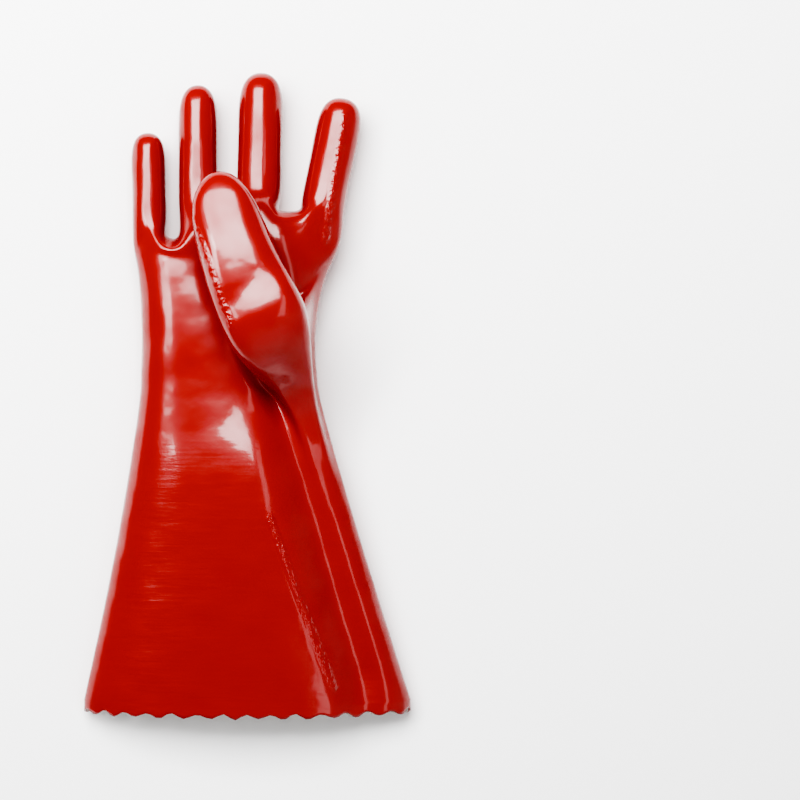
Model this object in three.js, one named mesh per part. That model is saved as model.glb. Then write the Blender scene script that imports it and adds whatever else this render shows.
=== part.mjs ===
// A right-hand work glove: a knitted cotton glove dipped in PVC, with a long flared gauntlet cut to a
// scalloped hem. It lies on its back, palm up, with the thumb folded over the palm.
// Millimetres. +Y runs from the hem to the fingertips, +X is the thumb's side, +Z is up from the surface
// that the glove lies on. The origin is the middle of the glove's outline, on that surface.

import * as THREE from "three";

// Driving dimensions.
const GAUNTLET_LENGTH = 205; // hem to the narrowest place of the wrist
const PALM_LENGTH = 58; // wrist to the knuckles
const HEM_WIDTH = 180;
const HEM_HEIGHT = 35;
const WRIST_WIDTH = 94;
const WRIST_HEIGHT = 40;
const KNUCKLE_WIDTH = 113;
const KNUCKLE_HEIGHT = 36;
const HAND_OFFSET = -9.5; // the hand's middle, towards the little finger from the gauntlet's middle

const FINGER_LENGTH = 82; // middle finger, knuckle to tip
const FINGER_WIDTH = 24;
const FINGER_THICKNESS = 22;
const FINGER_DROP = 6; // how far the tips droop
const WEB_DROP = 5; // the palm side of a web lies this far behind its edge

const THUMB_WIDTH = 42;
const THUMB_THICKNESS = 28;
const THUMB_LENGTH = 105; // middle of the root to the tip, seen from above
const THUMB_HEIGHT = 59; // middle of the thumb above the surface
const THUMB_ROOT_LEAN = 31; // degrees that the thumb points towards the little finger, at its root
const THUMB_TIP_LEAN = 12; // the same at its tip
const THUMB_SQUARENESS = 0.75; // power of its oval: 1 is an ellipse, less is squarer
const MOUND_HEIGHT = 8; // how far the ball of the thumb stands above the palm
const CROTCH_DIP = 30; // how far the thumb's underside reaches back towards the wrist

const COATING_WALL = 1.0;
const LINING_GAP = 0.3;
const LINING_WALL = 1.0;

const HEM_BAND = 6; // the strip below the last whole section, in which the scallops are cut
const HEM_BOW = 1; // the middle of the hem hangs lower than its corners
const SCALLOPS = 28;
const SCALLOP_DEPTH = 3;
const LINING_SETBACK = 0.4; // the lining's edge stands back from the coating's
const SIDE_RADIUS = 6.5; // the fold at the gauntlet's sides
const FOLD_DEPTH = 8;
const FOLD_WIDTH = 11;
const FLATTENING = 1.5; // how far the back is pressed flat by the surface

const COATING_COLOUR = 0xc41a10;
const COTTON_COLOUR = 0xe9e2d8;

// Sections of the gauntlet, from the hem. at: share of the gauntlet's length. flare: 1 at the hem's
// width, 0 at the wrist's. shift: share of the hand's offset. columns: place between the sets of columns
// below. mound: share of the height of the ball of the thumb. dip: share of CROTCH_DIP.
const GAUNTLET_SECTIONS = [
  { at: 0.035, flare: 0.975, shift: 0.0, columns: 0, mound: 0, dip: 0 },
  { at: 0.42, flare: 0.49, shift: 0.4, columns: 0.3, mound: 0, dip: 0 },
  { at: 0.785, flare: 0.09, shift: 0.87, columns: 1, mound: 0.6, dip: 0 },
  { at: 0.895, flare: 0.02, shift: 0.97, columns: 1.5, mound: 1, dip: 0.2 },
];
// Sections of the palm, from the wrist. at: share of the palm's length. spread: 0 at the wrist's width,
// 1 at the knuckles'. The rest as above.
const PALM_SECTIONS = [
  { at: 0.02, spread: 0.0, shift: 1.0, columns: 1.8, mound: 0.7, dip: 0.55 },
  { at: 0.52, spread: 0.32, shift: 0.85, columns: 2, mound: 0, dip: 1 },
  { at: 0.75, spread: 0.75, shift: 0.65, columns: 2.5, mound: 0, dip: 0.5 },
  { at: 1.0, spread: 1.0, shift: 0.5, columns: 3, mound: 0, dip: 0 },
];
// Fingers from the little finger to the index. root: place of the middle of the root, as a share of the
// knuckles' width. web: place of the web on its thumb side, as a share of the palm's length.
const FINGERS = [
  { name: "little", root: -0.42, width: 0.77, length: 0.69, lean: -1.5, web: 0.95 },
  { name: "ring", root: -0.188, width: 0.88, length: 0.95, lean: -0.5, web: 1.1 },
  { name: "middle", root: 0.1, width: 1.0, length: 0.95, lean: 1, web: 1.18 },
  { name: "index", root: 0.395, width: 1.0, length: 0.83, lean: 11, web: 1.0 },
];
// Sections of a finger. at: share of its length. size: share of its width and thickness.
const FINGER_SECTIONS = [
  { at: 0.15, size: 1.0 },
  { at: 0.52, size: 0.98 },
  { at: 0.87, size: 0.9 },
];
// Sections of the thumb. at: share of its length. size: share of its width and thickness. turn: degrees
// that it has bent over from upright, towards the fingers.
const THUMB_SECTIONS = [
  { at: 0.2, width: 1.05, thick: 1.0, height: 0.96, turn: 60 },
  { at: 0.52, width: 0.97, thick: 0.95, height: 1.0, turn: 88 },
  { at: 0.84, width: 0.83, thick: 0.82, height: 0.95, turn: 94 },
];
// Folds and hollows of the palm side. from and to: across as a share of the hem's width, along as a
// share of the gauntlet's length. deep: share of FOLD_DEPTH. wide: shares of FOLD_WIDTH at both ends.
const FOLDS = [
  { name: "gauntlet fold", from: [0.09, 0.84], to: [0.35, 0.07], deep: 1.0, wide: [1.0, 1.0] },
  { name: "hollow of the palm", from: [-0.07, 1.15], to: [0.01, 0.88], deep: 0.85, wide: [1.6, 3.0] },
];

// Columns of the cage on the palm side and on the back: places across the width, from -1 at the little
// finger's side to 1 at the thumb's. Each finger has three, and a web lies between two fingers. The
// eighth runs along the gauntlet's fold, and the last four along the ball of the thumb.
const HEM_COLUMNS = [-0.965, -0.8, -0.57, -0.3, -0.02, 0.25, 0.48, 0.686, 0.77, 0.85, 0.92, 0.97];
const ROOT_COLUMNS = [-0.93, -0.8, -0.64, -0.45, -0.24, 0.0, 0.24, 0.46, 0.66, 0.76, 0.86, 0.95];
const PALM_COLUMNS = [-0.93, -0.8, -0.64, -0.48, -0.33, -0.18, -0.06, 0.08, 0.22, 0.46, 0.7, 0.91];
const COLUMNS = PALM_COLUMNS.length;
const RING = 2 * COLUMNS + 2;
const THUMB_COLUMN = 8; // first column of the thumb's root
const THUMB_ROW = 2; // first section of the thumb's root
const THUMB_CELLS = 3; // the root is this many cells each way
const OUTER_WEB = 0.93; // where the little finger's outer side begins, as a share of the palm's length
const ROOT_SHARE = 0.4; // a finger's edge columns, from its middle, as a share of its width
const SCALLOP_STEPS = 4; // points in one scallop
const TIP_BLUNTNESS = 1.15; // how far the thumb's end stays wide towards its tip
const FIT_ROUNDS = 4;

const mix = THREE.MathUtils.lerp;
const wristY = GAUNTLET_LENGTH;

// A half section: a slab with rounded sides that carries a flatter dome.
function halfSection(across, rise) {
  const edge = Math.min(SIDE_RADIUS, rise);
  const slab = Math.sqrt(1 - Math.pow(Math.abs(across), 8));
  const dome = Math.pow(1 - across * across, 0.8);
  return edge * slab + (rise - edge) * dome;
}

// A cage point. palm is 1 where the palm side's folds apply.
function cagePoint(x, y, z, palm = 0) {
  return new THREE.Vector4(x, y, z, palm);
}

// How the ball of the thumb rises towards the thumb's side.
function ballOfThumb(across) {
  return THREE.MathUtils.smoothstep(across, 0.1, 0.9);
}

// One section of the body, as a ring: palm side, thumb's side, back, little finger's side.
function bodyRing({ y, middle, width, top, side, columns, mound }) {
  const x = (across) => middle + (width / 2) * across;
  const palm = columns.map((across, j) =>
    cagePoint(x(across), y(j), side + halfSection(across, top - side) + mound * ballOfThumb(across), 1),
  );
  const back = columns.map((across, j) =>
    cagePoint(x(across), y(j), side - halfSection(across, side + FLATTENING)),
  );
  const thumbSide = cagePoint(x(1), y(COLUMNS - 0.5), side + mound / 3, 0.3);
  const littleSide = cagePoint(x(-1), y(-0.5), side, 0.3);
  return [...palm, thumbSide, ...back.reverse(), littleSide];
}

const fingerMiddle = (finger) => HAND_OFFSET / 2 + finger.root * KNUCKLE_WIDTH;
const webY = (i) => wristY + PALM_LENGTH * (i < 0 ? OUTER_WEB : FINGERS[i].web);
const fingerRootY = (i) => (webY(i - 1) + webY(i)) / 2;

// Columns at the knuckles: the two edges and the middle of each finger.
function knuckleColumns() {
  return FINGERS.flatMap((finger) =>
    [-1, 0, 1].map((edge) => {
      const x = fingerMiddle(finger) + edge * ROOT_SHARE * FINGER_WIDTH * finger.width;
      return (x - HAND_OFFSET / 2) / (KNUCKLE_WIDTH / 2);
    }),
  );
}

// The columns at a place from 0 at the hem, over 1 at the thumb's root and 2 in the palm, to 3 at the
// knuckles.
function columnsAt(place) {
  const sets = [HEM_COLUMNS, ROOT_COLUMNS, PALM_COLUMNS, knuckleColumns()];
  const set = Math.min(Math.floor(place), sets.length - 2);
  return sets[set].map((across, j) => mix(across, sets[set + 1][j], place - set));
}

// Where a column of the knuckle ring lies along the glove: behind the webs, forward under the fingers.
function knuckleRowY(column) {
  const finger = Math.min(Math.max(Math.floor(column / 3), 0), FINGERS.length - 1);
  const place = column - 3 * finger; // 0 and 2 are a finger's edges, 1 its middle
  if (place < 0) return webY(-1);
  if (place > 2) return webY(FINGERS.length - 1);
  return place === 1 ? fingerRootY(finger) : webY(finger - 1 + place / 2) - WEB_DROP;
}

function bodyRings() {
  const hemBow = (j) => HEM_BOW * (1 - Math.sin((Math.PI * (j + 1)) / (COLUMNS + 1)));
  const crotch = (j) => CROTCH_DIP * Math.exp(-Math.pow((j - THUMB_COLUMN) / 2, 2));
  const gauntlet = GAUNTLET_SECTIONS.map(({ at, flare, shift, columns, mound, dip }) =>
    bodyRing({
      y: (j) => GAUNTLET_LENGTH * at + (1 - at) * hemBow(j) - dip * crotch(j),
      middle: HAND_OFFSET * shift,
      width: mix(WRIST_WIDTH, HEM_WIDTH, flare),
      top: mix(WRIST_HEIGHT, HEM_HEIGHT, flare),
      side: mix(WRIST_HEIGHT * 0.45, SIDE_RADIUS, flare),
      columns: columnsAt(columns),
      mound: mound * MOUND_HEIGHT,
    }),
  );
  const palm = PALM_SECTIONS.map(({ at, spread, shift, columns, mound, dip }) =>
    bodyRing({
      y: (j) => (at === 1 ? knuckleRowY(j) : wristY + PALM_LENGTH * at - dip * crotch(j)),
      middle: HAND_OFFSET * shift,
      width: mix(WRIST_WIDTH, KNUCKLE_WIDTH, spread),
      top: mix(WRIST_HEIGHT, KNUCKLE_HEIGHT, spread),
      side: mix(WRIST_HEIGHT, KNUCKLE_HEIGHT, spread) * 0.46,
      columns: columnsAt(columns),
      mound: mound * MOUND_HEIGHT,
    }),
  );
  return [...gauntlet, ...palm];
}

// A ring of points round an axis: from the upper left, over the top, clockwise.
function ringAround(centre, across, up, width, thick, count, power = 1) {
  const swell = (share) => Math.sign(share) * Math.pow(Math.abs(share), power);
  return Array.from({ length: count }, (_, k) => {
    const turn = (0.375 - k / count) * 2 * Math.PI;
    const p = centre.clone();
    p.addScaledVector(across, (width / 2) * swell(Math.cos(turn)));
    p.addScaledVector(up, (thick / 2) * swell(Math.sin(turn)));
    return cagePoint(p.x, p.y, p.z);
  });
}

function fingerRings(finger, i) {
  const lean = THREE.MathUtils.degToRad(finger.lean);
  const along = new THREE.Vector3(Math.sin(lean), Math.cos(lean), 0);
  const across = new THREE.Vector3(Math.cos(lean), -Math.sin(lean), 0);
  const length = FINGER_LENGTH * finger.length;
  const root = new THREE.Vector3(fingerMiddle(finger), fingerRootY(i), KNUCKLE_HEIGHT * 0.47);
  const centre = (at) =>
    root
      .clone()
      .addScaledVector(along, length * at)
      .setZ(root.z - FINGER_DROP * finger.length * at);
  const rings = FINGER_SECTIONS.map(({ at, size }) => {
    const up = new THREE.Vector3(0, 0, 1).addScaledVector(along, FINGER_DROP / FINGER_LENGTH).normalize();
    const width = FINGER_WIDTH * finger.width * size;
    const thick = FINGER_THICKNESS * Math.sqrt(finger.width) * size;
    return ringAround(centre(at), across, up, width, thick, 8);
  });
  return { rings, tip: centre(1) };
}

function thumbRings(root) {
  const leanAt = (at) => THREE.MathUtils.degToRad(mix(THUMB_ROOT_LEAN, THUMB_TIP_LEAN, at));
  // The thumb curves along an arc, so its chord from the root leans halfway between the ends.
  const centre = (at, height) => {
    const lean = leanAt(at / 2);
    const reach = THUMB_LENGTH * at;
    return new THREE.Vector3(
      root.x - reach * Math.sin(lean),
      root.y + reach * Math.cos(lean),
      THUMB_HEIGHT * height,
    );
  };
  const rings = THUMB_SECTIONS.map(({ at, width, thick, height, turn }) => {
    const lean = leanAt(at);
    const along = new THREE.Vector3(-Math.sin(lean), Math.cos(lean), 0);
    const across = new THREE.Vector3(Math.cos(lean), Math.sin(lean), 0);
    const angle = THREE.MathUtils.degToRad(turn);
    const up = new THREE.Vector3(0, 0, Math.sin(angle)).addScaledVector(along, -Math.cos(angle));
    const [wide, deep] = [THUMB_WIDTH * width, THUMB_THICKNESS * thick];
    return ringAround(centre(at, height), across, up, wide, deep, 12, THUMB_SQUARENESS);
  });
  return { rings, tip: centre(1, THUMB_SECTIONS.at(-1).height) };
}

// The coarse cage of quads that the glove's outer surface is fitted through.
function buildCage() {
  const points = [];
  const quads = [];
  const add = (list) => list.map((p) => points.push(p) - 1);
  const band = (from, to) =>
    from.forEach((_, k) => {
      const next = (k + 1) % from.length;
      quads.push([from[k], from[next], to[next], to[k]]);
    });
  // Closes a ring with a square patch of cells, domed out to the tip.
  const cap = (ring, tip) => {
    const n = ring.length / 4;
    const centre = ring.reduce((sum, k) => sum.add(points[k]), cagePoint(0, 0, 0));
    centre.divideScalar(ring.length);
    const edge = (i, j) =>
      j === 0 ? ring[i] : i === n ? ring[n + j] : j === n ? ring[3 * n - i] : ring[(4 * n - j) % (4 * n)];
    const grid = (i, j) => {
      if (i === 0 || j === 0 || i === n || j === n) return edge(i, j);
      return inner[(i - 1) * (n - 1) + j - 1];
    };
    const inner = [];
    for (let i = 1; i < n; i++)
      for (let j = 1; j < n; j++) {
        const p = cagePoint(0, 0, 0);
        p.addScaledVector(points[edge(i, 0)], 1 - j / n).addScaledVector(points[edge(i, n)], j / n);
        p.addScaledVector(points[edge(0, j)], 1 - i / n).addScaledVector(points[edge(n, j)], i / n);
        p.divideScalar(2).sub(centre).multiplyScalar(TIP_BLUNTNESS).add(cagePoint(tip.x, tip.y, tip.z));
        inner.push(points.push(p) - 1);
      }
    for (let i = 0; i < n; i++)
      for (let j = 0; j < n; j++)
        quads.push([grid(i, j), grid(i + 1, j), grid(i + 1, j + 1), grid(i, j + 1)]);
  };

  const inThumb = (row, k) =>
    row >= THUMB_ROW && row < THUMB_ROW + THUMB_CELLS && k >= THUMB_COLUMN && k < THUMB_COLUMN + THUMB_CELLS;
  const unused = (row, k) => inThumb(row, k) && inThumb(row - 1, k - 1);
  const body = bodyRings().map((ring, row) =>
    ring.map((p, k) => (unused(row, k) ? -1 : points.push(p) - 1)),
  );
  for (let row = 0; row + 1 < body.length; row++)
    for (let k = 0; k < RING; k++) {
      const next = (k + 1) % RING;
      if (!inThumb(row, k))
        quads.push([body[row][k], body[row][next], body[row + 1][next], body[row + 1][k]]);
    }

  // The webs: a strip over each gap between two fingers, from the palm side to the back.
  const last = body.at(-1);
  const palm = (j) => last[j];
  const back = (j) => last[2 * COLUMNS - j];
  const sides = FINGERS.map(() => []); // each finger's left and right point at the root
  sides[0][0] = last[RING - 1];
  sides.at(-1)[1] = last[COLUMNS];
  for (let i = 0; i + 1 < FINGERS.length; i++) {
    const edge = [FINGERS[i], FINGERS[i + 1]].map(
      (finger, k) => fingerMiddle(finger) + ((k ? -1 : 1) * FINGER_WIDTH * finger.width) / 2,
    );
    const [left, right] = add(edge.map((x) => cagePoint(x, webY(i), KNUCKLE_HEIGHT * 0.47)));
    const j = 3 * i + 2;
    quads.push([palm(j), palm(j + 1), right, left], [left, right, back(j + 1), back(j)]);
    sides[i][1] = left;
    sides[i + 1][0] = right;
  }

  FINGERS.forEach((finger, i) => {
    const j = 3 * i;
    const root = [palm(j), palm(j + 1), palm(j + 2), sides[i][1], back(j + 2), back(j + 1), back(j), sides[i][0]];
    const { rings, tip } = fingerRings(finger, i);
    const loops = [root, ...rings.map(add)];
    loops.slice(1).forEach((loop, k) => band(loops[k], loop));
    cap(loops.at(-1), tip);
  });

  // The thumb grows out of the hole left in the palm side.
  const c = THUMB_COLUMN;
  const r = THUMB_ROW;
  const n = THUMB_CELLS;
  const root = [
    ...Array.from({ length: n }, (_, k) => body[r][c + k]),
    ...Array.from({ length: n }, (_, k) => body[r + k][c + n]),
    ...Array.from({ length: n }, (_, k) => body[r + n][c + n - k]),
    ...Array.from({ length: n }, (_, k) => body[r + n - k][c]),
  ];
  const middle = root.reduce((sum, k) => sum.add(points[k]), cagePoint(0, 0, 0)).divideScalar(root.length);
  const { rings, tip } = thumbRings(new THREE.Vector3(middle.x, middle.y, middle.z));
  const loops = [root, ...rings.map(add)];
  loops.slice(1).forEach((loop, k) => band(loops[k], loop));
  cap(loops.at(-1), tip);

  return { points, quads };
}

// Per point: how many quads meet there, the sums of its neighbours and of its quads' far corners, and
// on the hem its two neighbours along the open edge.
function surroundings({ points, quads }) {
  const around = points.map(() => ({
    count: 0,
    near: new THREE.Vector4(0, 0, 0, 0),
    far: new THREE.Vector4(0, 0, 0, 0),
    open: [],
  }));
  const sides = new Map();
  for (const quad of quads)
    quad.forEach((a, k) => {
      const [b, c, d] = [1, 2, 3].map((step) => quad[(k + step) % 4]);
      around[a].count += 1;
      around[a].near.add(points[b]).add(points[d]);
      around[a].far.add(points[c]);
      const key = a < b ? a + "," + b : b + "," + a;
      sides.set(key, (sides.get(key) ?? 0) + 1);
    });
  for (const [key, used] of sides)
    if (used === 1) {
      const [a, b] = key.split(",").map(Number);
      around[a].open.push(b);
      around[b].open.push(a);
    }
  return around;
}

// Where the points of a Catmull-Clark cage end up on its smooth surface.
function onSurface(mesh) {
  return surroundings(mesh).map(({ count, near, far, open }, k) => {
    const p = mesh.points[k].clone();
    if (open.length) {
      p.multiplyScalar(4).add(mesh.points[open[0]]).add(mesh.points[open[1]]);
      return p.divideScalar(6);
    }
    p.multiplyScalar(count * count).addScaledVector(near, 2).add(far);
    return p.divideScalar(count * (count + 5));
  });
}

// One Catmull-Clark step.
function subdivide(mesh) {
  const { points, quads } = mesh;
  const moved = surroundings(mesh).map(({ count, near, far, open }, k) => {
    const p = points[k].clone();
    if (open.length) return p.multiplyScalar(6).add(points[open[0]]).add(points[open[1]]).divideScalar(8);
    p.multiplyScalar(4 * count * count - 7 * count).addScaledVector(near, 3).add(far);
    return p.divideScalar(4 * count * count);
  });
  const middles = quads.map((quad) => {
    const p = new THREE.Vector4(0, 0, 0, 0);
    quad.forEach((k) => p.add(points[k]));
    return p.divideScalar(4);
  });
  const edges = new Map();
  quads.forEach((quad, face) =>
    quad.forEach((a, k) => {
      const b = quad[(k + 1) % 4];
      const key = a < b ? a + "," + b : b + "," + a;
      if (!edges.has(key)) edges.set(key, { ends: [a, b], faces: [] });
      edges.get(key).faces.push(face);
    }),
  );
  const all = [...moved, ...middles];
  for (const edge of edges.values()) {
    const p = points[edge.ends[0]].clone().add(points[edge.ends[1]]);
    if (edge.faces.length === 2) p.add(middles[edge.faces[0]]).add(middles[edge.faces[1]]).divideScalar(2);
    edge.index = all.push(p.divideScalar(2)) - 1;
  }
  const edgeIndex = (a, b) => edges.get(a < b ? a + "," + b : b + "," + a).index;
  const finer = quads.flatMap((quad, face) =>
    quad.map((a, k) => {
      const before = quad[(k + 3) % 4];
      return [a, edgeIndex(a, quad[(k + 1) % 4]), points.length + face, edgeIndex(before, a)];
    }),
  );
  return { points: all, quads: finer };
}

// Moves the cage until its smooth surface passes through the points it was given.
function fitThrough(mesh) {
  const fitted = { points: mesh.points.map((p) => p.clone()), quads: mesh.quads };
  for (let round = 0; round < FIT_ROUNDS; round++)
    onSurface(fitted).forEach((p, k) => fitted.points[k].add(mesh.points[k]).sub(p));
  return fitted;
}

// How far the folds press the palm side in at a place.
function foldDepth(x, y) {
  let depth = 0;
  for (const { from, to, deep, wide } of FOLDS) {
    const start = new THREE.Vector2(from[0] * HEM_WIDTH, from[1] * GAUNTLET_LENGTH);
    const line = new THREE.Vector2(to[0] * HEM_WIDTH, to[1] * GAUNTLET_LENGTH).sub(start);
    const here = new THREE.Vector2(x, y).sub(start);
    const share = THREE.MathUtils.clamp(here.dot(line) / line.lengthSq(), 0, 1);
    const away = here.addScaledVector(line, -share).length();
    const width = FOLD_WIDTH * mix(wide[0], wide[1], share);
    depth += deep * FOLD_DEPTH * Math.exp(-Math.pow(away / width, 2));
  }
  return depth;
}

// The coating's outer surface: fitted, refined, folded, and pressed flat where it rests.
function outerSurface() {
  const fine = subdivide(fitThrough(buildCage()));
  const points = onSurface(fine).map((p) => {
    const z = p.z - p.w * foldDepth(p.x, p.y);
    return new THREE.Vector3(p.x, p.y, Math.max(z, 0));
  });
  return { points, quads: fine.quads };
}

function pointNormals({ points, quads }) {
  const normals = points.map(() => new THREE.Vector3());
  for (const [a, b, c, d] of quads) {
    const one = points[c].clone().sub(points[a]);
    const other = points[d].clone().sub(points[b]);
    const normal = one.cross(other).normalize();
    [a, b, c, d].forEach((k) => normals[k].add(normal));
  }
  return normals.map((n) => n.normalize());
}

// The open edge, as a loop in the direction of its quads.
function openLoop({ quads }) {
  const next = new Map();
  const used = new Set();
  for (const quad of quads) quad.forEach((a, k) => used.add(a + "," + quad[(k + 1) % 4]));
  for (const key of used) {
    const [a, b] = key.split(",").map(Number);
    if (!used.has(b + "," + a)) next.set(a, b);
  }
  const loop = [next.keys().next().value];
  while (next.get(loop.at(-1)) !== loop[0]) loop.push(next.get(loop.at(-1)));
  return loop;
}

// Places along the hem where the scallops' peaks, flanks and hollows come, by length along the edge.
function hemStations(points, loop) {
  const lengths = loop.map((k, i) => points[k].distanceTo(points[loop[(i + 1) % loop.length]]));
  const starts = lengths.map((_, i) => lengths.slice(0, i).reduce((sum, l) => sum + l, 0));
  const total = starts.at(-1) + lengths.at(-1);
  const count = SCALLOPS * SCALLOP_STEPS;
  const stations = Array.from({ length: count }, (_, s) => {
    const along = (s / count) * total;
    const cell = starts.findLastIndex((start) => start <= along);
    const cut = (SCALLOP_DEPTH / 2) * Math.cos((2 * Math.PI * s) / SCALLOP_STEPS);
    const share = (along - starts[cell]) / lengths[cell];
    const edge = points[loop[cell]].clone().lerp(points[loop[(cell + 1) % loop.length]], share);
    return { cell, share, edge, drop: HEM_BAND + cut };
  });
  return stations;
}

const surface = outerSurface();
const normals = pointNormals(surface);
const loop = openLoop(surface);
const stations = hemStations(surface.points, loop);
const box = new THREE.Box3().setFromPoints(surface.points);
box.min.y = Math.min(...stations.map(({ edge, drop }) => edge.y - drop));
const centre = box.getCenter(new THREE.Vector3()).setZ(0);

// A closed wall between two depths under the outer surface, with a scalloped open end.
function wallGeometry(outerDepth, innerDepth, setback) {
  const vertices = [];
  const faces = [];
  const skin = (depth) => {
    const first = vertices.length;
    surface.points.forEach((p, k) =>
      vertices.push(p.clone().addScaledVector(normals[k], -depth).sub(centre)),
    );
    const hem = stations.map(({ cell, share, drop }) => {
      const a = vertices[first + loop[cell]];
      const b = vertices[first + loop[(cell + 1) % loop.length]];
      const p = a.clone().lerp(b, share);
      p.y -= drop - setback;
      return vertices.push(p) - 1;
    });
    return { first, hem };
  };
  const outer = skin(outerDepth);
  const inner = skin(innerDepth);
  const faceBoth = (makeFace) => {
    faces.push(makeFace(outer));
    faces.push(makeFace(inner).reverse());
  };
  for (const [a, b, c, d] of surface.quads) {
    faceBoth(({ first }) => [first + a, first + b, first + c]);
    faceBoth(({ first }) => [first + a, first + c, first + d]);
  }
  // The hem band: cells of the edge above, stations below, taken in turn by their place.
  let cell = 0;
  stations.forEach((station, s) => {
    const next = (s + 1) % stations.length;
    const reach = next === 0 ? loop.length : stations[next].cell;
    faceBoth(({ first, hem }) => [first + loop[cell % loop.length], hem[s], hem[next]]);
    for (; cell < reach; cell++) {
      const [from, to] = [loop[cell], loop[(cell + 1) % loop.length]];
      faceBoth(({ first, hem }) => [first + from, hem[next], first + to]);
    }
    faces.push([outer.hem[next], outer.hem[s], inner.hem[s]]);
    faces.push([outer.hem[next], inner.hem[s], inner.hem[next]]);
  });
  const geometry = new THREE.BufferGeometry();
  geometry.setAttribute("position", new THREE.Float32BufferAttribute(vertices.flatMap((v) => v.toArray()), 3));
  geometry.setIndex(faces.flat());
  geometry.computeVertexNormals();
  return geometry;
}

// The glossy red skin that the dipping leaves.
function coating() {
  const material = new THREE.MeshStandardMaterial({ color: COATING_COLOUR, roughness: 0.18, metalness: 0 });
  const mesh = new THREE.Mesh(wallGeometry(0, COATING_WALL, 0), material);
  mesh.name = "pvc_coating";
  return mesh;
}

// The knitted glove under it.
function lining() {
  const material = new THREE.MeshStandardMaterial({ color: COTTON_COLOUR, roughness: 0.95, metalness: 0 });
  const depth = COATING_WALL + LINING_GAP;
  const mesh = new THREE.Mesh(wallGeometry(depth, depth + LINING_WALL, LINING_SETBACK), material);
  mesh.name = "cotton_lining";
  return mesh;
}

const glove = new THREE.Group();
glove.add(coating(), lining());

export default glove;
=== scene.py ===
"""A right-hand PVC gauntlet as it lies on its back: a knitted cotton glove dipped in glossy red PVC."""

import bpy
import numpy as np
from mathutils import Matrix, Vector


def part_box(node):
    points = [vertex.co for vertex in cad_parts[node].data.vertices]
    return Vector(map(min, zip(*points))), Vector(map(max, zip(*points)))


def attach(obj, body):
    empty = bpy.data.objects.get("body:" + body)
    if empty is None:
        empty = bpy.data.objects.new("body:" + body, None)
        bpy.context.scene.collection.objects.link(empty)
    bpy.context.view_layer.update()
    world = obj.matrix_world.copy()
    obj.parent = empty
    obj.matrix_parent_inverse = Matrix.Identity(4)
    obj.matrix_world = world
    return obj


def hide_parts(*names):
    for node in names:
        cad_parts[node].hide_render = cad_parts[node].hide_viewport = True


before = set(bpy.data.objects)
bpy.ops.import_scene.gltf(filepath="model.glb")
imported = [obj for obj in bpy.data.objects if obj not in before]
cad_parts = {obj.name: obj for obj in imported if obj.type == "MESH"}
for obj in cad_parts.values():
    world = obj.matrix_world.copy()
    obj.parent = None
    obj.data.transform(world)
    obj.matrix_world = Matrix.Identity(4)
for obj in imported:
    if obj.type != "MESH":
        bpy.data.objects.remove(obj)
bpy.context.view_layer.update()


# Camera
# It hangs straight over the middle of a picture that shows the whole pair, so this glove lies to the
# left of it and is seen with a little perspective.
CAMERA_HEIGHT = 1.5
CAMERA_OFFSET = (0.0832, -0.0032)
FIELD = 0.438  # width of the picture on the table

camera = bpy.data.objects.new("camera", bpy.data.cameras.new("camera"))
camera.location = (*CAMERA_OFFSET, CAMERA_HEIGHT)
camera.data.sensor_width = 36
camera.data.lens = camera.data.sensor_width * CAMERA_HEIGHT / FIELD
bpy.context.scene.collection.objects.link(camera)
bpy.context.scene.camera = camera


# Table
# A plain white sheet of background paper, far wider than the picture. It lies flat under the glove and
# is lit until it is nearly paper white.
def linear(hex_colour):
    """sRGB hex to linear: c/12.92 below 0.04045, else ((c + 0.055)/1.055)^2.4."""
    srgb = np.array([int(hex_colour[k : k + 2], 16) for k in (1, 3, 5)]) / 255
    low = srgb / 12.92
    high = ((srgb + 0.055) / 1.055) ** 2.4
    return (*np.where(srgb <= 0.04045, low, high).tolist(), 1.0)


def add_node(tree, kind, links=(), **settings):
    """Adds a shader node. A setting that starts with in_ is an input socket's value, any other is the
    node's own. links holds (input name or number, other node's output)."""
    node = tree.nodes.new(kind)
    for name, value in settings.items():
        if not name.startswith("in_"):
            setattr(node, name, value)
    for name, value in settings.items():
        if name.startswith("in_"):
            node.inputs[name[3:].replace("_", " ")].default_value = value
    for name, output in links:
        tree.links.new(output, node.inputs[name])
    return node


def new_material(name):
    """An empty node material and its tree."""
    material = bpy.data.materials.new(name)
    material.use_nodes = True
    material.node_tree.nodes.clear()
    return material, material.node_tree


def white_paper():
    """Background paper, uncoated: it has no gloss, so the glove lies in a soft shadow and no reflection."""
    material, tree = new_material("matt white paper")
    surface = add_node(
        tree,
        "ShaderNodeBsdfPrincipled",
        in_Base_Color=linear("#FCFCFC"),
        in_Roughness=0.9,
    )
    add_node(tree, "ShaderNodeOutputMaterial", [("Surface", surface.outputs["BSDF"])])
    return material


TABLE_SIZE = 6.0
table_mesh = bpy.data.meshes.new("table")
corners = np.array([[-1, -1, 0], [1, -1, 0], [1, 1, 0], [-1, 1, 0]]) * TABLE_SIZE / 2
table_mesh.from_pydata(corners.tolist(), [], [(0, 1, 2, 3)])
table = bpy.data.objects.new("table", table_mesh)
table_mesh.materials.append(white_paper())
bpy.context.scene.collection.objects.link(table)


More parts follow.
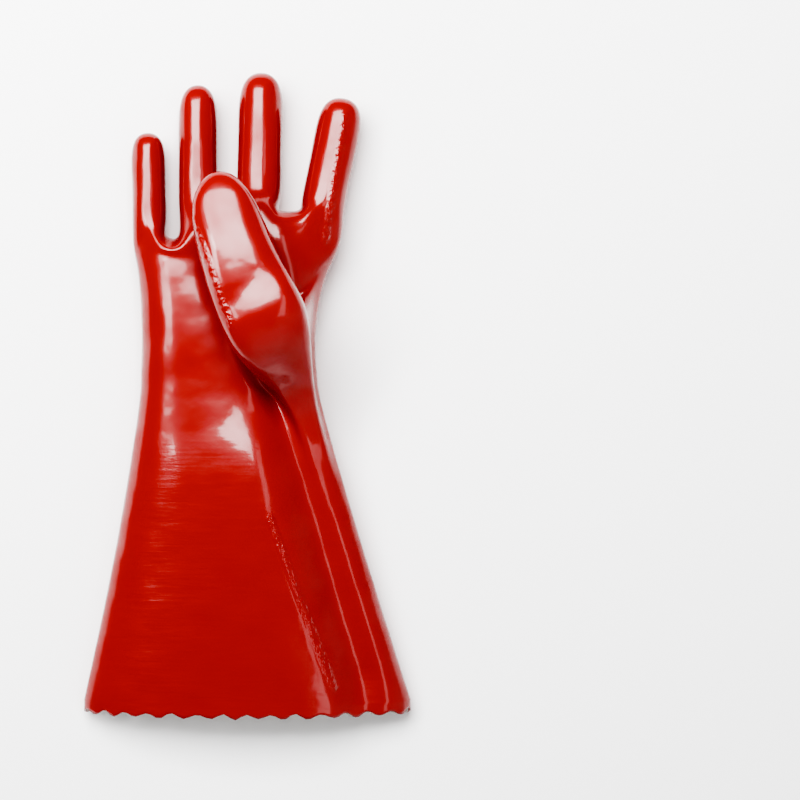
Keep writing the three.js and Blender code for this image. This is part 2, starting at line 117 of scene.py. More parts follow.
# Studio light
# A wide soft box beyond the fingertips makes the bands on the fingers and the thumb. A small one on the
# left draws the strip down the palm, and a dim one on the right the lines along the folds. The room
# round them is white and dim, lightest on the near right.
def soft_box(name, middle, size, power, aim=(0.0, 0.0, 0.0)):
    """A rectangular lamp at middle that faces aim. size is its width and its length."""
    data = bpy.data.lights.new(name, "AREA")
    data.shape = "RECTANGLE"
    data.size, data.size_y = size
    data.energy = power
    lamp = bpy.data.objects.new(name, data)
    away = np.array(middle, float) - np.array(aim, float)
    away /= np.linalg.norm(away)
    across = np.cross((0.0, 1.0, 0.0), away)
    across /= np.linalg.norm(across)
    up = np.cross(away, across)
    turn = np.eye(4)
    turn[:3, :3] = np.stack([across, up, away], axis=1)
    turn[:3, 3] = middle
    lamp.matrix_world = Matrix(turn.tolist())
    bpy.context.scene.collection.objects.link(lamp)


BOX_GLOW = 17.0  # W for each square metre, about five times as bright as the white table
for name, middle, size, aim, dim in (
    ("far soft box", (-0.36, 0.78, 1.3), (1.4, 1.0), (-0.36, 0.78, 0.0), 1.0),
    ("left soft box", (-1.0, 0.2, 1.2), (0.4, 0.32), (0.0, 0.0, 0.0), 1.0),
    ("right soft box", (0.65, 0.0, 1.3), (0.25, 0.9), (0.0, 0.0, 0.0), 0.16),
):
    soft_box(name, middle, size, BOX_GLOW * dim * size[0] * size[1], aim)

BRIGHT_SIDE = (0.55, -0.83, 0.0)  # direction of the room's lightest wall
ROOM_DARKEST = 0.13
ROOM_LIGHTEST = 0.36
room = bpy.data.worlds.new("white room")
room.use_nodes = True
tree = room.node_tree
tree.nodes.clear()
direction = add_node(tree, "ShaderNodeTexCoord").outputs["Generated"]
towards = add_node(tree, "ShaderNodeVectorMath", [(0, direction)], operation="DOT_PRODUCT")
towards.inputs[1].default_value = BRIGHT_SIDE
glow = add_node(
    tree,
    "ShaderNodeMapRange",
    [("Value", towards.outputs["Value"])],
    interpolation_type="SMOOTHSTEP",
    in_From_Min=-0.1,
    in_From_Max=1.0,
    in_To_Min=ROOM_DARKEST,
    in_To_Max=ROOM_LIGHTEST,
)
sky = add_node(tree, "ShaderNodeBackground", [("Strength", glow.outputs["Result"])])
add_node(tree, "ShaderNodeOutputWorld", [("Surface", sky.outputs["Background"])])
sky.inputs["Color"].default_value = (1, 1, 1, 1)
bpy.context.scene.world = room
view = bpy.context.scene.view_settings
view.view_transform = "AgX"
view.look = "AgX - Very High Contrast"
view.exposure = 1.0


# PVC coating
# The knitted glove is dipped in liquid PVC on a flat former, so the skin is one smooth closed surface
# of five digits, palm and flared gauntlet. It is cut to a scalloped hem when it has set.
GAUNTLET_LENGTH = 205.0  # all sizes in this section are in millimetres
PALM_LENGTH = 58.0
HEM_WIDTH = 180.0
HEM_HEIGHT = 35.0
WRIST_WIDTH = 94.0
WRIST_HEIGHT = 40.0
WRIST_SIDE = 0.45  # height of the side line, as a share of the wrist's
KNUCKLE_WIDTH = 113.0
KNUCKLE_HEIGHT = 36.0
KNUCKLE_SIDE = 0.46
FINGER_AXIS = 0.47  # height of the fingers' middle line at the webs, as a share of the knuckles'
HAND_OFFSET = -9.5
FINGER_LENGTH = 82.0
FINGER_WIDTH = 24.0
FINGER_THICKNESS = 22.0
FINGER_DROP = 6.0
WEB_DROP = 5.0
THUMB_WIDTH = 42.0
THUMB_THICKNESS = 28.0
THUMB_LENGTH = 105.0
THUMB_HEIGHT = 59.0
THUMB_ROOT_LEAN = 31.0
THUMB_TIP_LEAN = 12.0
THUMB_SQUARENESS = 0.75
MOUND_HEIGHT = 8.0
CROTCH_DIP = 30.0
HEM_BAND = 6.0
HEM_BOW = 1.0
SCALLOPS = 28
SCALLOP_DEPTH = 3.0
SIDE_RADIUS = 6.5
FOLD_DEPTH = 8.0
FOLD_WIDTH = 11.0
FLATTENING = 1.5
TIP_BLUNTNESS = 1.15
MM = 0.001

# Sections of the gauntlet: share of its length, flare, shift, column set, mound and dip.
GAUNTLET_SECTIONS = np.array(
    [
        [0.035, 0.975, 0.0, 0.0, 0.0, 0.0],
        [0.42, 0.49, 0.4, 0.3, 0.0, 0.0],
        [0.785, 0.09, 0.87, 1.0, 0.6, 0.0],
        [0.895, 0.02, 0.97, 1.5, 1.0, 0.2],
    ]
)
# Sections of the palm: share of its length, spread, shift, column set, mound and dip.
PALM_SECTIONS = np.array(
    [
        [0.02, 0.0, 1.0, 1.8, 0.7, 0.55],
        [0.52, 0.32, 0.85, 2.0, 0.0, 1.0],
        [0.75, 0.75, 0.65, 2.5, 0.0, 0.5],
        [1.0, 1.0, 0.5, 3.0, 0.0, 0.0],
    ]
)
# Fingers from the little one: root, width, length, lean and the web on the thumb's side.
FINGERS = np.array(
    [
        [-0.42, 0.77, 0.69, -1.5, 0.95],
        [-0.188, 0.88, 0.95, -0.5, 1.1],
        [0.1, 1.0, 0.95, 1.0, 1.18],
        [0.395, 1.0, 0.83, 11.0, 1.0],
    ]
)
OUTER_WEB = 0.93
ROOT_SHARE = 0.4
# Sections of a finger: share of its length, size.
FINGER_SECTIONS = np.array([[0.15, 1.0], [0.52, 0.98], [0.87, 0.9]])
# Sections of the thumb: share of its length, width, thickness, height and turn.
THUMB_SECTIONS = np.array(
    [
        [0.2, 1.05, 1.0, 0.96, 60],
        [0.52, 0.97, 0.95, 1.0, 88],
        [0.84, 0.83, 0.82, 0.95, 94],
    ]
)
# Places of the twelve columns across the width, at the hem, the thumb's root and the palm.
HEM_COLUMNS = (-0.965, -0.8, -0.57, -0.3, -0.02, 0.25, 0.48, 0.686, 0.77, 0.85, 0.92, 0.97)
ROOT_COLUMNS = (-0.93, -0.8, -0.64, -0.45, -0.24, 0.0, 0.24, 0.46, 0.66, 0.76, 0.86, 0.95)
PALM_COLUMNS = (-0.93, -0.8, -0.64, -0.48, -0.33, -0.18, -0.06, 0.08, 0.22, 0.46, 0.7, 0.91)
COLUMNS = len(PALM_COLUMNS)
THUMB_COLUMN, THUMB_ROW, THUMB_CELLS = 8, 2, 3
FIT_ROUNDS = 4

finger_middles = HAND_OFFSET / 2 + FINGERS[:, 0] * KNUCKLE_WIDTH
web_places = GAUNTLET_LENGTH + PALM_LENGTH * np.append(OUTER_WEB, FINGERS[:, 4])


def mix(a, b, share):
    """a + (b - a) share."""
    return a + (np.asarray(b) - a) * share


def half_section(across, rise):
    """A slab with rounded sides, edge sqrt(1 - a^8), under a dome (rise - edge) (1 - a^2)^0.8."""
    edge = np.minimum(SIDE_RADIUS, rise)
    return edge * np.sqrt(1 - np.abs(across) ** 8) + (rise - edge) * (1 - across**2) ** 0.8


def columns_at(place):
    """The columns between two of the four sets, from 0 at the hem to 3 at the knuckles."""
    edges = np.array([-1, 0, 1]) * ROOT_SHARE * FINGER_WIDTH
    knuckle = (finger_middles[:, None] + edges * FINGERS[:, 1, None] - HAND_OFFSET / 2).ravel()
    sets = np.array([HEM_COLUMNS, ROOT_COLUMNS, PALM_COLUMNS, knuckle / (KNUCKLE_WIDTH / 2)])
    low = np.minimum(np.floor(place).astype(int), 2)
    return mix(sets[low], sets[low + 1], (place - low)[:, None])


def body_rings():
    """Rings of palm side, thumb's side, back and little finger's side, one for each section: heights
    follow half_section above and below a side line, and the ball of the thumb rises as a smooth step."""
    gauntlet, palm = GAUNTLET_SECTIONS, PALM_SECTIONS
    shift, place, mound, dip = np.vstack([gauntlet, palm])[:, 2:].T[:, :, None]
    middle = HAND_OFFSET * shift
    width = np.append(
        mix(WRIST_WIDTH, HEM_WIDTH, gauntlet[:, 1]),
        mix(WRIST_WIDTH, KNUCKLE_WIDTH, palm[:, 1]),
    )[:, None]
    top = np.append(
        mix(WRIST_HEIGHT, HEM_HEIGHT, gauntlet[:, 1]),
        mix(WRIST_HEIGHT, KNUCKLE_HEIGHT, palm[:, 1]),
    )[:, None]
    side = np.append(
        mix(WRIST_HEIGHT * WRIST_SIDE, SIDE_RADIUS, gauntlet[:, 1]),
        mix(WRIST_HEIGHT, KNUCKLE_HEIGHT, palm[:, 1]) * KNUCKLE_SIDE,
    )[:, None]
    rise = mound * MOUND_HEIGHT
    j = np.append(np.arange(COLUMNS), [COLUMNS - 0.5, -0.5])
    along = np.append(
        GAUNTLET_LENGTH * gauntlet[:, 0],
        GAUNTLET_LENGTH + PALM_LENGTH * palm[:, 0],
    )[:, None]
    bow = HEM_BOW * (1 - np.sin(np.pi * (j + 1) / (COLUMNS + 1)))
    crotch = CROTCH_DIP * np.exp(-(((j - THUMB_COLUMN) / 2) ** 2))
    y = along + np.clip(1 - along / GAUNTLET_LENGTH, 0, 1) * bow - dip * crotch
    webs, roots = web_places, (web_places[:-1] + web_places[1:]) / 2
    y[-1, :COLUMNS] = np.stack([webs[:-1] - WEB_DROP, roots, webs[1:] - WEB_DROP], 1).ravel()
    y[-1, COLUMNS:] = webs[-1], webs[0]
    across = columns_at(place[:, 0])
    x = middle + width / 2 * across
    step = np.clip((across - 0.1) / 0.8, 0, 1)
    ball = rise * step * step * (3 - 2 * step)
    upper = side + half_section(across, top - side) + ball
    lower = side - half_section(across, side + FLATTENING)
    ring = np.zeros((len(x), 2 * COLUMNS + 2, 4))
    ring[:, :COLUMNS] = np.stack([x, y[:, :COLUMNS], upper, np.ones_like(x)], 2)
    ring[:, COLUMNS + 1 : -1] = np.stack([x, y[:, :COLUMNS], lower, 0 * x], 2)[:, ::-1]
    for k, sign, share, extra in ((COLUMNS, 1, COLUMNS, rise / 3), (-1, -1, COLUMNS + 1, 0 * rise)):
        ring[:, k, 0] = (middle + sign * width / 2)[:, 0]
        ring[:, k, 1] = y[:, share]
        ring[:, k, 2] = (side + extra)[:, 0]
        ring[:, k, 3] = 0.3
    return ring


def rings_around(centre, across, up, width, thick, count, power=1.0):
    """Ovals centre + across w/2 |cos t|^power + up h/2 |sin t|^power, clockwise from the upper left."""
    t = (0.375 - np.arange(count) / count) * 2 * np.pi
    cos, sin = (np.sign(f) * np.abs(f) ** power for f in (np.cos(t)[:, None], np.sin(t)[:, None]))
    spread = across[:, None] * (width / 2)[:, None, None] * cos
    lift = up[:, None] * (thick / 2)[:, None, None] * sin
    ring = np.zeros((len(centre), count, 4))
    ring[..., :3] = centre[:, None] + spread + lift
    return ring


def finger_rings(i):
    """A finger's rings, and its tip: a straight middle line that droops to the table."""
    root, width, length, lean, _ = FINGERS[i]
    lean = np.radians(lean)
    along = np.array([np.sin(lean), np.cos(lean), 0])
    across = np.array([np.cos(lean), -np.sin(lean), 0])
    start = np.array([finger_middles[i], web_places[i : i + 2].mean(), KNUCKLE_HEIGHT * FINGER_AXIS])
    at = np.append(FINGER_SECTIONS[:, 0], 1.0)
    centre = start + along * (FINGER_LENGTH * length * at)[:, None]
    centre[:, 2] -= FINGER_DROP * length * at
    up = np.array([0, 0, 1]) + along * (FINGER_DROP / FINGER_LENGTH + 0 * at[:-1, None])
    up /= np.linalg.norm(up, axis=1)[:, None]
    size = FINGER_SECTIONS[:, 1]
    wide = FINGER_WIDTH * width * size
    thick = FINGER_THICKNESS * np.sqrt(width) * size
    return rings_around(centre[:-1], across[None], up, wide, thick, 8), centre[-1]


def thumb_rings(root):
    """The thumb's rings, and its tip: an arc seen from above, with rings that turn over with it."""
    share, wide, thick, height, turn = np.vstack([THUMB_SECTIONS, [1, 0, 0, 0.95, 94]]).T
    chord = np.radians(mix(THUMB_ROOT_LEAN, THUMB_TIP_LEAN, share / 2))
    lean = np.radians(mix(THUMB_ROOT_LEAN, THUMB_TIP_LEAN, share))
    reach = THUMB_LENGTH * share
    centre = np.stack(
        [root[0] - reach * np.sin(chord), root[1] + reach * np.cos(chord), THUMB_HEIGHT * height], 1
    )
    along = np.stack([-np.sin(lean), np.cos(lean), 0 * lean], 1)
    across = np.stack([np.cos(lean), np.sin(lean), 0 * lean], 1)
    turn = np.radians(turn)[:, None]
    up = np.array([0, 0, 1]) * np.sin(turn) - along * np.cos(turn)
    wide = THUMB_WIDTH * wide[:-1]
    thick = THUMB_THICKNESS * thick[:-1]
    rings = rings_around(centre[:-1], across[:-1], up[:-1], wide, thick, 12, THUMB_SQUARENESS)
    return rings, centre[-1]


def ring_quads(loops):
    """Quads between neighbouring loops of point numbers."""
    loops = np.asarray(loops)
    ahead = np.roll(loops, -1, axis=1)
    return np.stack([loops[:-1], ahead[:-1], ahead[1:], loops[1:]], 2).reshape(-1, 4)


def square_cap(ring, points, tip, first):
    """Closes a ring of 4 n points with n by n cells: each inner point is the mean of the two straight
    lines between opposite sides, moved out to the tip. first is the number of the first new point."""
    n = len(ring) // 4
    grid = np.full((n + 1, n + 1), -1)
    grid[:, 0] = ring[: n + 1]
    grid[n, :] = ring[n : 2 * n + 1]
    grid[:, n] = ring[2 * n : 3 * n + 1][::-1]
    grid[0, :] = np.append(ring[3 * n :], ring[0])[::-1]
    share = np.arange(1, n) / n
    side = points[np.maximum(grid, 0)]
    inner = mix(side[1:-1, None, 0], side[1:-1, None, n], share[None, :, None])
    inner = inner + mix(side[0, None, 1:-1], side[n, None, 1:-1], share[:, None, None])
    inner = (inner / 2 - points[ring].mean(0)) * TIP_BLUNTNESS
    inner[..., :3] += tip
    grid[1:-1, 1:-1] = first + np.arange((n - 1) ** 2).reshape(n - 1, n - 1)
    quads = np.stack([grid[:-1, :-1], grid[1:, :-1], grid[1:, 1:], grid[:-1, 1:]], 2)
    return inner.reshape(-1, 4), quads.reshape(-1, 4)


def glove_cage():
    """The coarse cage: body rings with a hole for the thumb, a strip over each web, and the digits."""
    rings = body_rings()
    rows, around = rings.shape[:2]
    points = rings.reshape(-1, 4)
    body = np.arange(rows * around).reshape(rows, around)
    quads = ring_quads(body)
    row, k = np.divmod(np.arange(len(quads)), around)
    hole = (row >= THUMB_ROW) & (row < THUMB_ROW + THUMB_CELLS)
    hole &= (k >= THUMB_COLUMN) & (k < THUMB_COLUMN + THUMB_CELLS)
    quads = [quads[~hole]]
    last = body[-1]

    def palm(j):
        return last[j]

    def back(j):
        return last[2 * COLUMNS - j]

    half = FINGER_WIDTH * FINGERS[:, 1] / 2
    left_right = np.stack([finger_middles[:-1] + half[:-1], finger_middles[1:] - half[1:]], 1)
    webs = np.zeros((3, 2, 4))
    webs[..., 0] = left_right
    webs[..., 1] = web_places[1:-1, None]
    webs[..., 2] = KNUCKLE_HEIGHT * FINGER_AXIS
    web = len(points) + np.arange(6).reshape(3, 2)
    points = np.vstack([points, webs.reshape(-1, 4)])
    j = 3 * np.arange(3) + 2
    quads.append(np.stack([palm(j), palm(j + 1), web[:, 1], web[:, 0]], 1))
    quads.append(np.stack([web[:, 0], web[:, 1], back(j + 1), back(j)], 1))
    lefts = np.append(last[-1], web[:, 1])
    rights = np.append(web[:, 0], last[COLUMNS])

    def add_digit(root, digit_rings, tip):
        nonlocal points
        numbers = len(points) + np.arange(digit_rings.shape[0] * digit_rings.shape[1])
        loops = np.vstack([root, numbers.reshape(digit_rings.shape[:2])])
        points = np.vstack([points, digit_rings.reshape(-1, 4)])
        inner, cap = square_cap(loops[-1], points, tip, len(points))
        points = np.vstack([points, inner])
        quads.extend([ring_quads(loops), cap])

    for i in range(len(FINGERS)):
        j = 3 * i
        root = [palm(j), palm(j + 1), palm(j + 2), rights[i]]
        root += [back(j + 2), back(j + 1), back(j), lefts[i]]
        add_digit(np.array(root), *finger_rings(i))

    r, c, n = THUMB_ROW, THUMB_COLUMN, THUMB_CELLS
    patch = body[r : r + n + 1, c : c + n + 1]
    root = np.concatenate([patch[0, :-1], patch[:-1, n], patch[n, :0:-1], patch[:0:-1, 0]])
    add_digit(root, *thumb_rings(points[root].mean(0)))
    used, quads = np.unique(np.vstack(quads), return_inverse=True)
    return points[used], quads.reshape(-1, 4)


def surroundings(points, quads):
    """Per point: its number of quads, sums of its neighbours and of its quads' far corners, and on
    the open edge the sum of its two neighbours there."""
    count = np.bincount(quads.ravel(), minlength=len(points))[:, None]
    near, far, edge = np.zeros((3, *points.shape))
    np.add.at(near, quads, points[np.roll(quads, -1, 1)] + points[np.roll(quads, 1, 1)])
    np.add.at(far, quads, points[np.roll(quads, 2, 1)])
    pairs = np.stack([quads, np.roll(quads, -1, 1)], 2).reshape(-1, 2)
    ends, where, uses = np.unique(np.sort(pairs, 1), axis=0, return_inverse=True, return_counts=True)
    rim = ends[uses == 1]
    np.add.at(edge, rim[:, 0], points[rim[:, 1]])
    np.add.at(edge, rim[:, 1], points[rim[:, 0]])
    on_rim = np.zeros((len(points), 1), bool)
    on_rim[rim] = True
    return count, near, far, edge, on_rim, ends, where.reshape(quads.shape), uses


def on_surface(points, quads):
    """Limit of Catmull-Clark: (n^2 p + 2 near + far)/(n (n + 5)), and (4 p + edge)/6 on the edge."""
    n, near, far, edge, on_rim, *_ = surroundings(points, quads)
    inside = (n * n * points + 2 * near + far) / (n * (n + 5))
    return np.where(on_rim, (4 * points + edge) / 6, inside)


def subdivide(points, quads):
    """One Catmull-Clark step: points go to ((4 n^2 - 7 n) p + 3 near + far)/(4 n^2)."""
    n, near, far, edge, on_rim, ends, where, uses = surroundings(points, quads)
    inside = ((4 * n * n - 7 * n) * points + 3 * near + far) / (4 * n * n)
    moved = np.where(on_rim, (6 * points + edge) / 8, inside)
    middles = points[quads].mean(1)
    sides = points[ends].mean(1)
    both = np.zeros_like(sides)
    np.add.at(both, where, middles[:, None])
    sides = np.where((uses == 2)[:, None], (sides + both / 2) / 2, sides)
    face = len(points) + np.arange(len(quads))[:, None] + 0 * quads
    ahead = len(points) + len(quads) + where
    finer = np.stack([quads, ahead, face, np.roll(ahead, 1, 1)], 2).reshape(-1, 4)
    return np.vstack([moved, middles, sides]), finer


# Folds of the palm side: both ends, as shares of the hem's width and the gauntlet's length, the depth
# and the widths at the ends, as shares of FOLD_DEPTH and FOLD_WIDTH.
FOLDS = np.array(
    [
        [0.09, 0.84, 0.35, 0.07, 1.0, 1.0, 1.0],
        [-0.07, 1.15, 0.01, 0.88, 0.85, 1.6, 3.0],
    ]
)


def along_line(places, start, end):
    """The share of the line from start to end at which each place is nearest to it, and its distance
    from it, both seen from above."""
    line = end - start
    here = places - start
    share = np.clip(here @ line / (line @ line), 0, 1)
    return share, np.linalg.norm(here - share[:, None] * line, axis=1)


def fold_depth(x, y):
    """Sum of the folds' depth exp(-(distance from the fold's line / width there)^2)."""
    depth = 0
    for x0, y0, x1, y1, deep, wide0, wide1 in FOLDS:
        start = np.array([x0 * HEM_WIDTH, y0 * GAUNTLET_LENGTH])
        end = np.array([x1 * HEM_WIDTH, y1 * GAUNTLET_LENGTH])
        share, away = along_line(np.stack([x, y], 1), start, end)
        width = mix(wide0, wide1, share) * FOLD_WIDTH
        depth += deep * FOLD_DEPTH * np.exp(-((away / width) ** 2))
    return depth


# Dents of the palm side, and ridges where the depth is negative: both ends, measured from the hem, the
# depth and the width at each end, and the two heights that it lies between. The first is the thumb's
# crook, the second a ridge below the gap beside the index finger, and the others lie along two seams.
DENTS = np.array(
    [
        [[-13.5, 214.5], [20.5, 241.5], [2.3, 2.3], [8.0, 8.0], [45.0, 90.0]],
        [[18.6, 259.6], [28.5, 232.2], [-1.5, -1.5], [6.0, 6.0], [10.0, 50.0]],
        [[12.0, 105.0], [48.0, 9.0], [-0.6, -0.6], [3.0, 3.0], [10.0, 90.0]],
        [[-26.0, 259.0], [-5.0, 203.0], [-0.6, -0.6], [3.0, 3.0], [40.0, 100.0]],
    ]
)


def dent_depth(skin, normals):
    """Sum of the dents' depth exp(-(distance from the dent's line / width)^2), where the skin faces up
    between the dent's two heights."""
    depth = np.zeros(len(skin))
    for start, end, deep, wide, (low, high) in DENTS:
        share, away = along_line(skin[:, :2], start, end)
        window = np.clip((skin[:, 2] - low) / 10, 0, 1) * np.clip((high - skin[:, 2]) / 10, 0, 1)
        depth += mix(*deep, share) * window * np.exp(-((away / mix(*wide, share)) ** 2))
    return depth * np.clip(normals[:, 2], 0, 1)


def point_normals(points, quads):
    """Mean of the unit normals of the quads round each point, each the cross of its diagonals."""
    corner = points[quads]
    face = np.cross(corner[:, 2] - corner[:, 0], corner[:, 3] - corner[:, 1])
    face /= np.linalg.norm(face, axis=1)[:, None]
    normals = np.zeros_like(points)
    np.add.at(normals, quads, face[:, None])
    return normals / np.linalg.norm(normals, axis=1)[:, None]


def open_loop(quads):
    """The open edge as a loop of point numbers, in the direction of its quads."""
    pairs = np.stack([quads, np.roll(quads, -1, 1)], 2).reshape(-1, 2)
    seen = set(map(tuple, pairs.tolist()))
    ahead = {a: b for a, b in seen if (b, a) not in seen}
    loop = [next(iter(ahead))]
    while ahead[loop[-1]] != loop[0]:
        loop.append(ahead[loop[-1]])
    return np.array(loop)


def glove_surface(levels, inset=0.0, setback=0.0, hem_rows=5):
    """The glove's skin, in metres: the cage fitted so that its limit surface passes through the
    sections, refined, folded, set in by inset, and let down to the scalloped hem, cut by hand, so
    y = edge - HEM_BAND - depth/2 (0.85 + 0.25 sin 11 t) cos(SCALLOPS t + 0.4 sin 5 t), t = 2 pi s."""
    target, quads = glove_cage()
    points = target.copy()
    for _ in range(FIT_ROUNDS):
        points += target - on_surface(points, quads)
    for _ in range(levels):
        points, quads = subdivide(points, quads)
    points = on_surface(points, quads)
    palm = points[:, 3]
    skin = points[:, :3].copy()
    skin[:, 2] -= palm * fold_depth(skin[:, 0], skin[:, 1])
    skin[:, 2] = np.maximum(skin[:, 2], 0)
    skin[:, 2] -= dent_depth(skin, point_normals(skin, quads))
    skin -= inset * point_normals(skin, quads)
    loop = open_loop(quads)
    edge = skin[loop]
    steps = np.linalg.norm(np.roll(edge, -1, 0) - edge, axis=1)
    share = (np.cumsum(steps) - steps) / steps.sum()
    t = 2 * np.pi * share
    cut = (0.85 + 0.25 * np.sin(11 * t)) * np.cos(SCALLOPS * t + 0.4 * np.sin(5 * t))
    drop = HEM_BAND - setback + SCALLOP_DEPTH / 2 * cut
    band = edge[None] - np.array([0, 1, 0]) * (drop * np.linspace(0, 1, hem_rows)[:, None])[..., None]
    numbers = len(skin) + np.arange((hem_rows - 1) * len(loop)).reshape(hem_rows - 1, -1)
    loops = np.vstack([loop, numbers])
    ahead = np.roll(loops, -1, axis=1)
    hem = np.stack([ahead[:-1], loops[:-1], loops[1:], ahead[1:]], 2).reshape(-1, 4)
    skin = np.vstack([skin, band[1:].reshape(-1, 3)])
    return skin * MM, np.vstack([quads, hem])


def set_attribute(obj, name, values):
    """Gives each point of the mesh a number that its material reads."""
    layer = obj.data.attributes.new(name, "FLOAT", "POINT")
    layer.data.foreach_set("value", np.ascontiguousarray(values, np.float32))


def add_skin(name, skin, quads, wall, material):
    """A smooth mesh object with a wall on its inner side."""
    mesh = bpy.data.meshes.new(name)
    mesh.from_pydata(skin.tolist(), [], quads.tolist())
    mesh.polygons.foreach_set("use_smooth", np.ones(len(mesh.polygons), bool))
    mesh.materials.append(material)
    obj = bpy.data.objects.new(name, mesh)
    bpy.context.scene.collection.objects.link(obj)
    thick = obj.modifiers.new("wall", "SOLIDIFY")
    thick.thickness = wall * MM
    thick.offset = -1
    thick.use_even_offset = False
    return obj


# The lining's seams that show through, down the gauntlet, the thumb and the index finger: both ends,
# measured on the table from the glove's middle, and the height above which it is seen.
SEAMS = (
    ((12.0, -62.0), (48.0, -158.0), 15.0),
    ((-26.0, 92.0), (-5.0, 36.0), 45.0),
    ((53.6, 150.0), (43.2, 82.8), 15.0),
)
SEAM_WIDTH = 3.2
SEAM_LUMP = 2.6
SEAM_DEPTH = 1.0
HIDDEN = 100.0  # far more than a seam's width
FLOW_LENGTH = 26.0  # waves that the liquid leaves as it runs off and sets
FLOW_DEPTH = 1.0
DIMPLE_LENGTH = 9.0
DIMPLE_DEPTH = 0.12
KNIT_PITCH = 2.6  # a course of stitches, drawn twice as coarse as it is so that it shows
KNIT_REACH = 22.0  # how far a course runs before its height changes
KNIT_DEPTH = 0.12
KNIT_FROM, KNIT_TO = -5.0, -60.0  # the courses come out between these places, from palm to gauntlet
HAZE_LENGTH = 18.0


def seam_distance(points):
    """Distance in metres of each point from the nearest seam, seen from above. A point under a seam's
    height counts as HIDDEN further off, so that the back shows no seam."""
    nearest = np.inf
    for start, end, lowest in SEAMS:
        away = along_line(points[:, :2], np.array(start) * MM, np.array(end) * MM)[1]
        nearest = np.minimum(nearest, away + HIDDEN * MM * (points[:, 2] < lowest * MM))
    return nearest


def step_node(tree, operation, value, second):
    """One step of arithmetic on a node's output: value and second, which is a number or an output."""
    links = [(0, value)] + ([] if isinstance(second, float) else [(1, second)])
    node = add_node(tree, "ShaderNodeMath", links, operation=operation)
    if isinstance(second, float):
        node.inputs[1].default_value = second
    return node.outputs["Value"]


def glossy_pvc():
    """Plasticised PVC as it comes from the dip: dense red and wet-looking, with a gloss that the
    plasticiser dulls in patches. The slow flow of the dip, the courses of the knit under it and the
    seams leave a low relief that only the highlights show."""
    material, tree = new_material("dipped PVC")
    place = add_node(tree, "ShaderNodeTexCoord").outputs["Object"]
    flow = add_node(
        tree, "ShaderNodeTexNoise", [("Vector", place)], in_Scale=1 / (FLOW_LENGTH * MM), in_Detail=1.0
    ).outputs["Fac"]
    across = add_node(
        tree,
        "ShaderNodeMapping",
        [("Vector", place)],
        in_Scale=(1 / (KNIT_REACH * MM), 1 / (KNIT_PITCH * MM), 1 / (KNIT_REACH * MM)),
    ).outputs["Vector"]
    courses = add_node(
        tree, "ShaderNodeTexNoise", [("Vector", across)], in_Scale=1.0, in_Detail=2.0
    ).outputs["Fac"]
    lengthwise = add_node(tree, "ShaderNodeSeparateXYZ", [("Vector", place)]).outputs["Y"]
    faded = add_node(
        tree,
        "ShaderNodeMapRange",
        [("Value", lengthwise)],
        interpolation_type="SMOOTHSTEP",
        in_From_Min=KNIT_FROM * MM,
        in_From_Max=KNIT_TO * MM,
    ).outputs["Result"]
    knit = step_node(tree, "MULTIPLY", courses, faded)
    lumps = add_node(
        tree, "ShaderNodeTexNoise", [("Vector", place)], in_Scale=1 / (SEAM_LUMP * MM), in_Detail=2.0
    ).outputs["Fac"]
    from_seam = add_node(tree, "ShaderNodeAttribute", attribute_name="seam").outputs["Fac"]
    near = add_node(
        tree,
        "ShaderNodeMapRange",
        [("Value", from_seam)],
        interpolation_type="SMOOTHSTEP",
        in_From_Min=SEAM_WIDTH * MM,
        in_From_Max=0.0,
    ).outputs["Result"]
    seam = step_node(tree, "MULTIPLY", lumps, near)
    dimples = add_node(
        tree, "ShaderNodeTexNoise", [("Vector", place)], in_Scale=1 / (DIMPLE_LENGTH * MM), in_Detail=1.0
    ).outputs["Fac"]
    reliefs = ((flow, FLOW_DEPTH), (dimples, DIMPLE_DEPTH), (knit, KNIT_DEPTH), (seam, SEAM_DEPTH))
    normal = None
    for height, depth in reliefs:
        links = [("Height", height)] + ([("Normal", normal)] if normal else [])
        normal = add_node(
            tree, "ShaderNodeBump", links, in_Strength=1.0, in_Distance=depth * MM
        ).outputs["Normal"]
    haze = add_node(
        tree, "ShaderNodeTexNoise", [("Vector", place)], in_Scale=1 / (HAZE_LENGTH * MM), in_Detail=3.0
    ).outputs["Fac"]
    gloss = add_node(
        tree,
        "ShaderNodeMapRange",
        [("Value", haze)],
        in_From_Min=0.3,
        in_From_Max=0.6,
        in_To_Min=0.3,
        in_To_Max=1.0,
    ).outputs["Result"]
    surface = add_node(
        tree,
        "ShaderNodeBsdfPrincipled",
        [("Normal", normal), ("Coat Normal", normal), ("Coat Weight", gloss)],
        in_Base_Color=linear("#8E130A"),
        in_Roughness=0.25,
        in_IOR=1.42,
        in_Coat_Roughness=0.08,
        in_Coat_IOR=1.42,
    )
    add_node(tree, "ShaderNodeOutputMaterial", [("Surface", surface.outputs["BSDF"])])
    return material


COATING_WALL = 1.0
skin, quads = glove_surface(levels=3)
low, high = (np.array(corner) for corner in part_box("pvc_coating"))
to_frame = (low + high) / 2 - (skin.min(0) + skin.max(0)) / 2
to_frame[2] = 0
skin += to_frame
coating = add_skin("coating", skin, quads, COATING_WALL, glossy_pvc())
set_attribute(coating, "seam", seam_distance(skin))
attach(coating, "root")
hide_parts("pvc_coating")


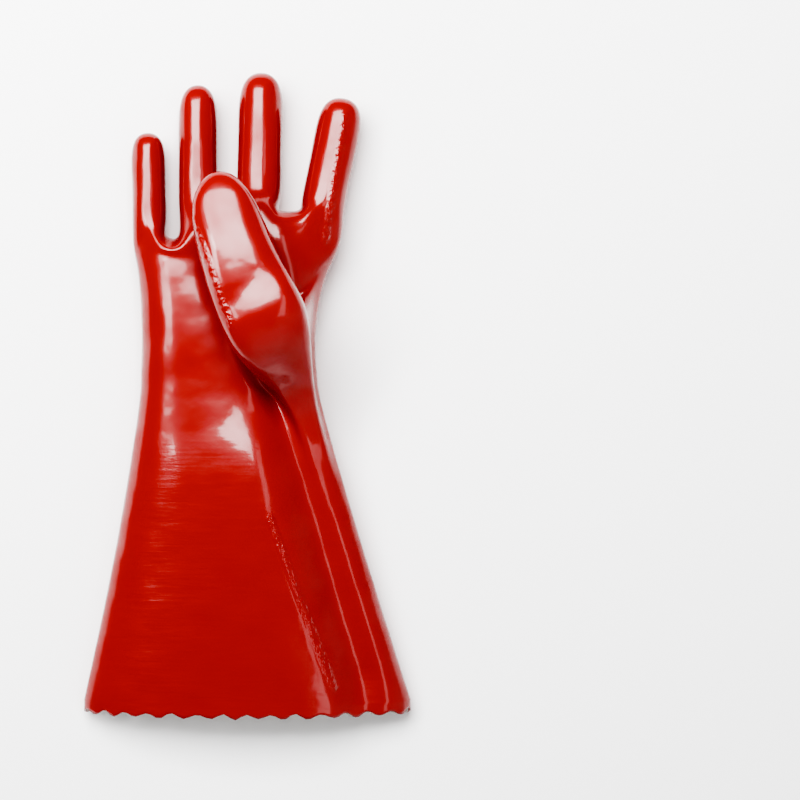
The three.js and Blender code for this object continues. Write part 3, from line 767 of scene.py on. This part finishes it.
# Cotton lining
# The knitted glove that the coating was dipped onto. It backs the coating all over and shows in the
# mouth, cut along the same scallops.
LINING_GAP = 0.3
LINING_WALL = 1.0
LINING_SETBACK = 0.4
WALE = 3.0  # width of a column of stitches, drawn twice as coarse as it is so that it shows
COURSE = 2.4  # height of a row, drawn likewise
FUZZ_LENGTH = 0.7
STITCH_DEPTH = 0.5


def knitted_cotton():
    """Bleached cotton jersey: matt and slightly warm. Its stitches are rows of small vees,
    sin 2 pi (y / COURSE + |frac(x / WALE) - 1/2|). They are darker where they are low: painted shade
    between the threads, with a random tone from the fuzz."""
    material, tree = new_material("knitted cotton")
    place = add_node(tree, "ShaderNodeTexCoord").outputs["Object"]
    parts = add_node(tree, "ShaderNodeSeparateXYZ", [("Vector", place)])
    value = parts.outputs["X"]
    for operation, number in (
        ("MULTIPLY", 1 / (WALE * MM)),
        ("FRACT", 0.0),
        ("SUBTRACT", 0.5),
        ("ABSOLUTE", 0.0),
        ("MULTIPLY", 2 * np.pi),
    ):
        value = step_node(tree, operation, value, number)
    turn = step_node(tree, "MULTIPLY", parts.outputs["Y"], 2 * np.pi / (COURSE * MM))
    stitch = step_node(tree, "SINE", step_node(tree, "ADD", turn, value), 0.0)
    fuzz = add_node(
        tree, "ShaderNodeTexNoise", [("Vector", place)], in_Scale=1 / (FUZZ_LENGTH * MM), in_Detail=3.0
    ).outputs["Fac"]
    height = step_node(tree, "ADD", stitch, fuzz)
    # Painted shade: darker where the stitches are low, between the threads; the fuzz adds a random tone.
    colour = add_node(
        tree,
        "ShaderNodeValToRGB",
        [("Fac", step_node(tree, "MULTIPLY_ADD", height, 0.4))],
    )
    colour.color_ramp.elements[0].color = linear("#B9AFA6")
    colour.color_ramp.elements[1].color = linear("#E9E2DA")
    normal = add_node(
        tree, "ShaderNodeBump", [("Height", height)], in_Strength=1.0, in_Distance=STITCH_DEPTH * MM
    ).outputs["Normal"]
    surface = add_node(
        tree,
        "ShaderNodeBsdfPrincipled",
        [("Base Color", colour.outputs["Color"]), ("Normal", normal)],
        in_Roughness=0.95,
        in_Sheen_Weight=0.3,
    )
    add_node(tree, "ShaderNodeOutputMaterial", [("Surface", surface.outputs["BSDF"])])
    return material


skin, quads = glove_surface(levels=3, inset=COATING_WALL + LINING_GAP, setback=LINING_SETBACK)
lining = add_skin("lining", skin + to_frame, quads, LINING_WALL, knitted_cotton())
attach(lining, "root")
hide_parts("cotton_lining")
